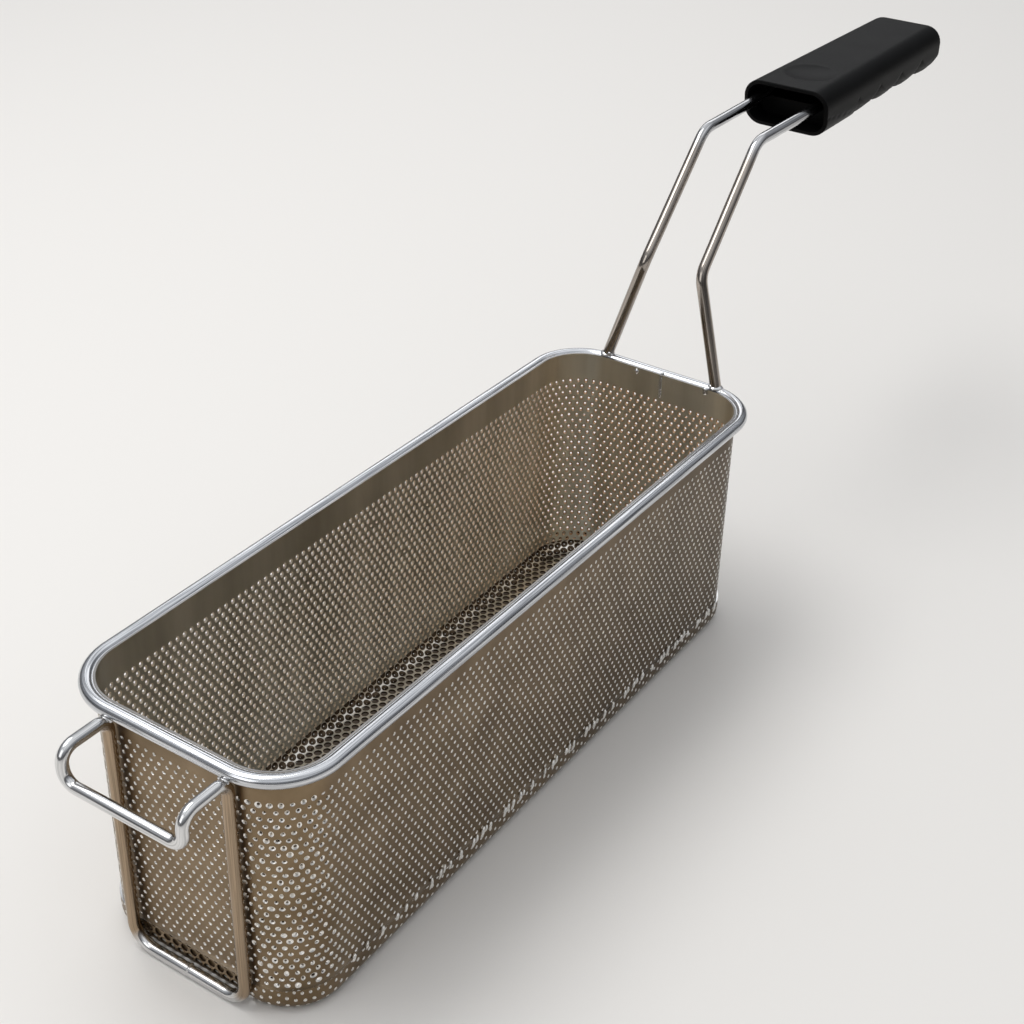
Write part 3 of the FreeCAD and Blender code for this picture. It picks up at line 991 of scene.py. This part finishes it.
def grip_outer_ring(along, inset):
    """One ring of the grip's outside, at a distance from the mouth and set in from the full section."""
    share = along / GRIP_LENGTH
    half_x = GRIP_HALF_MOUTH + (GRIP_HALF_END - GRIP_HALF_MOUTH) * share - inset
    places = rounded_section(half_x, GRIP_HALF_HEIGHT - inset, GRIP_EDGE_ROUND - inset)
    x = places[:, 0]
    z = places[:, 1]
    lean = GRIP_LEAN / 2 * -z / GRIP_HALF_HEIGHT
    y = along + lean * max(0, 1 - along / GRIP_LEAN_REACH)

    # Finger pads, cut up from below and then in across the two lower edges
    under = -GRIP_HALF_HEIGHT + FINGER_DEPTH - pad_height(y, FINGER_DEPTH)
    z = np.maximum(z, under)
    diagonal = math.sqrt(0.5)
    round_x = GRIP_HALF_END - GRIP_EDGE_ROUND
    round_z = -GRIP_HALF_HEIGHT + GRIP_EDGE_ROUND
    reach = GRIP_EDGE_ROUND - FINGER_EDGE_DEPTH + pad_height(y, FINGER_EDGE_DEPTH)
    taper = (GRIP_HALF_MOUTH - GRIP_HALF_END) * (1 - share)
    reach = reach + np.where(y < FINGER_FIRST, taper, 0)
    for side in (1, -1):
        out = (side * x - round_x - (z - round_z)) * diagonal
        excess = np.maximum(out - reach, 0)
        x = x - side * excess * diagonal
        z = z + excess * diagonal

    # Parting line along both sides, and the thumb dip on top
    parting_height = np.interp(
        along, [0, FINGER_FIRST, GRIP_LENGTH], [PARTING_AT_MOUTH, PARTING_AT_PADS, PARTING_AT_END],
    ) - GRIP_HALF_HEIGHT
    on_side = np.abs(x) > round_x + GRIP_EDGE_ROUND / 2
    parting = np.exp(-((z - parting_height) / PARTING_WIDTH) ** 2) * on_side
    x = x - np.sign(x) * PARTING_DEPTH * parting * max(0, 1 - inset / PARTING_INSET)
    thumb = np.hypot(x, y - THUMB_PLACE) / THUMB_RADIUS
    dip = THUMB_DEPTH * np.clip(1 - thumb ** 2, 0, 1) ** THUMB_STEEPNESS
    z = np.where(z > 0, z - dip, z)

    tilt = math.atan(GRIP_FALL / GRIP_LENGTH)
    height = z + GRIP_HALF_HEIGHT
    y_tilted = y * math.cos(tilt) + height * math.sin(tilt)
    z_tilted = height * math.cos(tilt) - y * math.sin(tilt) - GRIP_HALF_HEIGHT
    return x, y_tilted, z_tilted


def grip_inner_ring(half_x, half_z, corner, along, rise=0.0, leaning=False):
    """One ring of the grip's hollow, at a distance from the mouth."""
    places = rounded_section(half_x, half_z, corner)
    z = places[:, 1] + rise
    y = np.full(len(places), along)
    if leaning:
        y = y - GRIP_LEAN / 2 * z / GRIP_HALF_HEIGHT
    return places[:, 0], y, z


def grip_piece(axis_z):
    """Grip with its rounded end, finger pads, thumb dip, lipped mouth and the slot behind it."""
    centre_z = axis_z - GRIP_AXIS_DROP
    rings = []
    for angle in np.linspace(math.pi / 2, 0, GRIP_END_RINGS, endpoint=False):
        inset = GRIP_END_ROUND * (1 - math.cos(angle))
        rings.append(grip_outer_ring(GRIP_LENGTH - GRIP_END_ROUND * (1 - math.sin(angle)), inset))
    for along in np.linspace(GRIP_LENGTH - GRIP_END_ROUND, GRIP_FIRST_RING, GRIP_RINGS):
        rings.append(grip_outer_ring(along, 0))
    edge = GRIP_MOUTH_ROUND
    for angle in np.linspace(0, math.pi / 2, GRIP_MOUTH_RINGS):
        rings.append(grip_outer_ring(edge * (1 - math.sin(angle)), edge * (1 - math.cos(angle))))

    mouth = (GRIP_HALF_MOUTH - GRIP_LIP, GRIP_HALF_HEIGHT - GRIP_LIP, GRIP_EDGE_ROUND - GRIP_LIP)
    for along in (0, edge):
        rings.append(grip_inner_ring(*mouth, along, leaning=True))
    for along in (MOUTH_STRAIGHT, GRIP_MOUTH_DEPTH - edge, GRIP_MOUTH_DEPTH):
        rings.append(grip_inner_ring(*mouth, along))
    slot = (SLOT_HALF_X, SLOT_HALF_Z, SLOT_CORNER)
    for along in (GRIP_MOUTH_DEPTH, GRIP_MOUTH_DEPTH + edge, SLOT_END):
        rings.append(grip_inner_ring(*slot, along, GRIP_AXIS_DROP))

    sides = len(rings[0][0])
    vertices = []
    for x, y, z in rings:
        vertices += list(zip(x, y + GRIP_MOUTH, z + centre_z))
    faces = [tuple(range(sides))]
    for ring in range(len(rings) - 1):
        for side in range(sides):
            a = ring * sides + side
            b = ring * sides + (side + 1) % sides
            faces.append((a, a + sides, b + sides, b))
    last = (len(rings) - 1) * sides
    faces.append(tuple(range(last, last + sides))[::-1])
    return new_object("grip_moulding", vertices, faces, [MAT_GRIP], None, GRIP_SHARP)


def wire_lumps():
    """Place and half sizes of each lump of weld metal on the wires and along the wall's seam.

    On each side: two at the handle's foot, two under the rim at the frame's leg, and one behind the
    foot bar. Then come the rim's joint, three spots along the back of the rim, the joint of the foot bar
    and the dots up the seam, inside and outside.
    """
    lumps = []
    for side in (1, -1):
        lumps += [
            ((side * HANDLE_FOOT_X, RIM_BACK_Y, RIM[1][2] - 0.0004), (0.0032, 0.003, 0.0016)),
            ((side * 0.0262, RIM_BACK_Y - 0.0016, RIM[1][2] + 0.0002), (0.0012, 0.001, 0.0012)),
            ((side * LEG_X, RIM_FRONT_Y - 0.0016, RIM[0][2] + 0.0001), (0.0021, 0.0012, 0.001)),
            ((side * 0.024, RIM_FRONT_Y - 0.001, RIM[0][2] - 0.0001), (0.0012, 0.001, 0.0008)),
            ((side * 0.0215, LEG_Y + 0.0018, 0.0036), (0.0024, 0.0008, 0.0009)),
        ]
    lumps += [
        ((SEAM_X, RIM_BACK_Y - 0.0019, RIM_Z + 0.0013), (0.0009, 0.0009, 0.0011)),
        ((-0.0105, RIM_BACK_Y - 0.0034, RIM_Z - 0.0004), (0.0012, 0.0006, 0.0013)),
        ((0.0245, RIM_BACK_Y - 0.0031, RIM_Z + 0.0003), (0.0013, 0.0009, 0.002)),
        ((0.0315, RIM_BACK_Y - 0.0012, RIM_Z + 0.0018), (0.0012, 0.0009, 0.0009)),
        ((0.0, LEG_Y, FRAME_RADIUS), (0.0013, FOOT_BAR_JOINT, FOOT_BAR_JOINT)),
    ]
    for height in np.arange(SEAM_DOT_BEGIN, WALL_TOP, SEAM_DOT_STEP):
        lumps.append(((SEAM_X, HALF_LENGTH - SHEET, height), (0.0009, 0.0002, 0.0009)))
        lumps.append(((SEAM_X, HALF_LENGTH, height), (0.001, 0.00025, 0.0009)))
    return lumps


def edge_bars():
    """Place and half sizes of each upright bar of weld metal along both sides of the pan's edge."""
    bars = []
    for side in (1, -1):
        x = side * (HALF_WIDTH + BAR_OUT)
        y = -HALF_LENGTH + CORNER
        while y < HALF_LENGTH - CORNER:
            y += RNG.uniform(*BAR_STEP)
            z = PAN_TOP + RNG.uniform(*BAR_RISE)
            bars.append(((x, y, z), (BAR_DEPTH, RNG.uniform(*BAR_WIDTH), RNG.uniform(*BAR_HEIGHT))))
            if RNG.random() < DOUBLED_BARS:
                second = (x, y + SECOND_BAR_STEP, z + SECOND_BAR_RISE)
                bars.append((second, (BAR_DEPTH, BAR_WIDTH[0], RNG.uniform(*SECOND_BAR_HEIGHT))))
    return bars


def add_lump(shape, place, size, subdivisions, lean, slot):
    """Adds an uneven rounded lump that stays above the floor. A lean above 0 tips it along the wall."""
    made = bmesh.ops.create_icosphere(shape, subdivisions=subdivisions, radius=1.0)
    phases = RNG.uniform(0, 2 * math.pi, 3)
    for vertex in made["verts"]:
        u = vertex.co
        swell = 1 + SWELL * math.sin(4 * u.x + phases[0]) * math.cos(3 * u.y + phases[1])
        swell += SWELL_UPRIGHT * math.sin(6 * u.z + phases[2])
        tipped = lean * size[2] * u.z
        out = Vector((u.x * size[0], u.y * size[1] + tipped, u.z * size[2]))
        vertex.co = Vector(place) + out * swell
        vertex.co.z = max(vertex.co.z, 0)
        for face in vertex.link_faces:
            face.material_index = slot


def weld_piece():
    """Lumps of weld metal at the joints of wires and sheets."""
    shape = bmesh.new()
    lumps = wire_lumps()
    bars = edge_bars()
    for place, size in lumps:
        add_lump(shape, place, size, 3, 0, 0)
    # The bars take the near-white hole-edge steel: a painted highlight along the pan's edge
    for place, size in bars:
        add_lump(shape, place, size, 2, BAR_LEAN, 1)
    mesh = bpy.data.meshes.new("weld_beads")
    shape.to_mesh(mesh)
    shape.free()
    mesh.materials.append(MAT_WELD)
    mesh.materials.append(MAT_HOLE_EDGE)
    shade_smooth(mesh)
    return link_object("weld_beads", mesh)


def dress(piece, slot, *nodes):
    """Parents a piece under the part's root empty and hides the frame nodes that it stands for."""
    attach(piece, "root")
    if nodes:
        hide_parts(*nodes)


for sheet_piece in wall_pieces():
    dress(sheet_piece, "perforated_steel", "wall_sheet")
for sheet_piece in pan_pieces():
    dress(sheet_piece, "perforated_steel", "bottom_pan")
dress(pan_edge_piece(), "perforated_steel")
dress(rim_piece(), "bright_wire", "rim_wire")
dress(rim_fillet_piece(), "bright_wire")
dress(hanger_piece(), "bright_wire", "hanging_frame")
dress(handle_piece(), "bright_wire", "handle_wire")
dress(grip_piece(RIM_Z + KNEE_RISE + ELBOW_RISE), "grip_plastic", "grip")
dress(weld_piece(), "bright_wire")


def floor_piece():
    """Pale floor that reaches past the camera's view, with a dark patch of painted shade where the
    bottom lies on it.
    """
    materials = []
    for name, colour in (("floor_pale", FLOOR_PALE), ("floor_painted_shade", FLOOR_PAINTED_SHADE)):
        material, _, _, shader = node_material(name)
        shader.inputs["Base Color"].default_value = colour
        shader.inputs["Roughness"].default_value = FLOOR_ROUGHNESS
        materials.append(material)
    # Painted shade: the patch inside this outline is dark brown
    painted_shade_loop = rounded_loop(PAINTED_SHADE_INSET, 0)
    far = [(FLOOR_STRETCH_X * place.x, FLOOR_STRETCH_Y * place.y, 0) for place in painted_shade_loop]
    count = len(painted_shade_loop)
    faces = band_faces(count) + [range(count, 2 * count)]
    floor = new_object("floor", far + painted_shade_loop, faces, materials, [0] * count + [1])


def world_light():
    """Soft surround: dim at the height of the horizon and bright overhead."""
    world = bpy.data.worlds.new("studio")
    bpy.context.scene.world = world
    world.use_nodes = True
    nodes = world.node_tree.nodes
    links = world.node_tree.links
    background = nodes["Background"]
    direction = nodes.new("ShaderNodeTexCoord")
    parts = nodes.new("ShaderNodeSeparateXYZ")
    links.new(direction.outputs["Generated"], parts.inputs["Vector"])
    links.new(ramp(nodes, links, parts.outputs["Z"], SKY_STOPS), background.inputs["Color"])
    background.inputs["Strength"].default_value = 1.0


def area_light(name, place, target, width, height, power):
    """Rectangular lamp that faces a target."""
    light = bpy.data.lights.new(name, "AREA")
    light.shape = "RECTANGLE"
    light.size = width
    light.size_y = height
    light.energy = power
    lamp = bpy.data.objects.new(name, light)
    lamp.location = place
    lamp.rotation_euler = (Vector(target) - Vector(place)).to_track_quat("-Z", "Y").to_euler()
    bpy.context.scene.collection.objects.link(lamp)


def camera():
    """Camera from its place, its angles and its focal length."""
    right = Vector((math.cos(CAMERA_AZIMUTH), math.sin(CAMERA_AZIMUTH), 0))
    back = Vector((
        math.sin(CAMERA_AZIMUTH) * math.cos(CAMERA_ELEVATION),
        -math.cos(CAMERA_AZIMUTH) * math.cos(CAMERA_ELEVATION),
        math.sin(CAMERA_ELEVATION),
    ))
    up = back.cross(right)
    rolled_right = right * math.cos(CAMERA_ROLL) + up * math.sin(CAMERA_ROLL)
    rolled_up = up * math.cos(CAMERA_ROLL) - right * math.sin(CAMERA_ROLL)
    matrix = Matrix((rolled_right, rolled_up, back)).transposed().to_4x4()
    matrix.translation = CAMERA_PLACE
    data = bpy.data.cameras.new("camera")
    data.sensor_width = SENSOR_WIDTH
    data.lens = FOCAL_PIXELS / IMAGE_PIXELS * SENSOR_WIDTH
    data.dof.use_dof = False
    view = bpy.data.objects.new("camera", data)
    view.matrix_world = matrix
    bpy.context.scene.collection.objects.link(view)
    bpy.context.scene.camera = view


floor_piece()
world_light()
area_light("key", (-0.6, -0.2, 1.5), (0, 0, 0), 1.2, 0.8, 12)
area_light("fill", (-0.2, -1.4, 0.8), (0, 0, 0.05), 0.8, 0.8, 3)
area_light("back", (-0.93, 1.41, 1.06), (0, 0.1, 0.1), 1.4, 0.7, 4)
camera()
bpy.context.scene.view_settings.view_transform = "Standard"
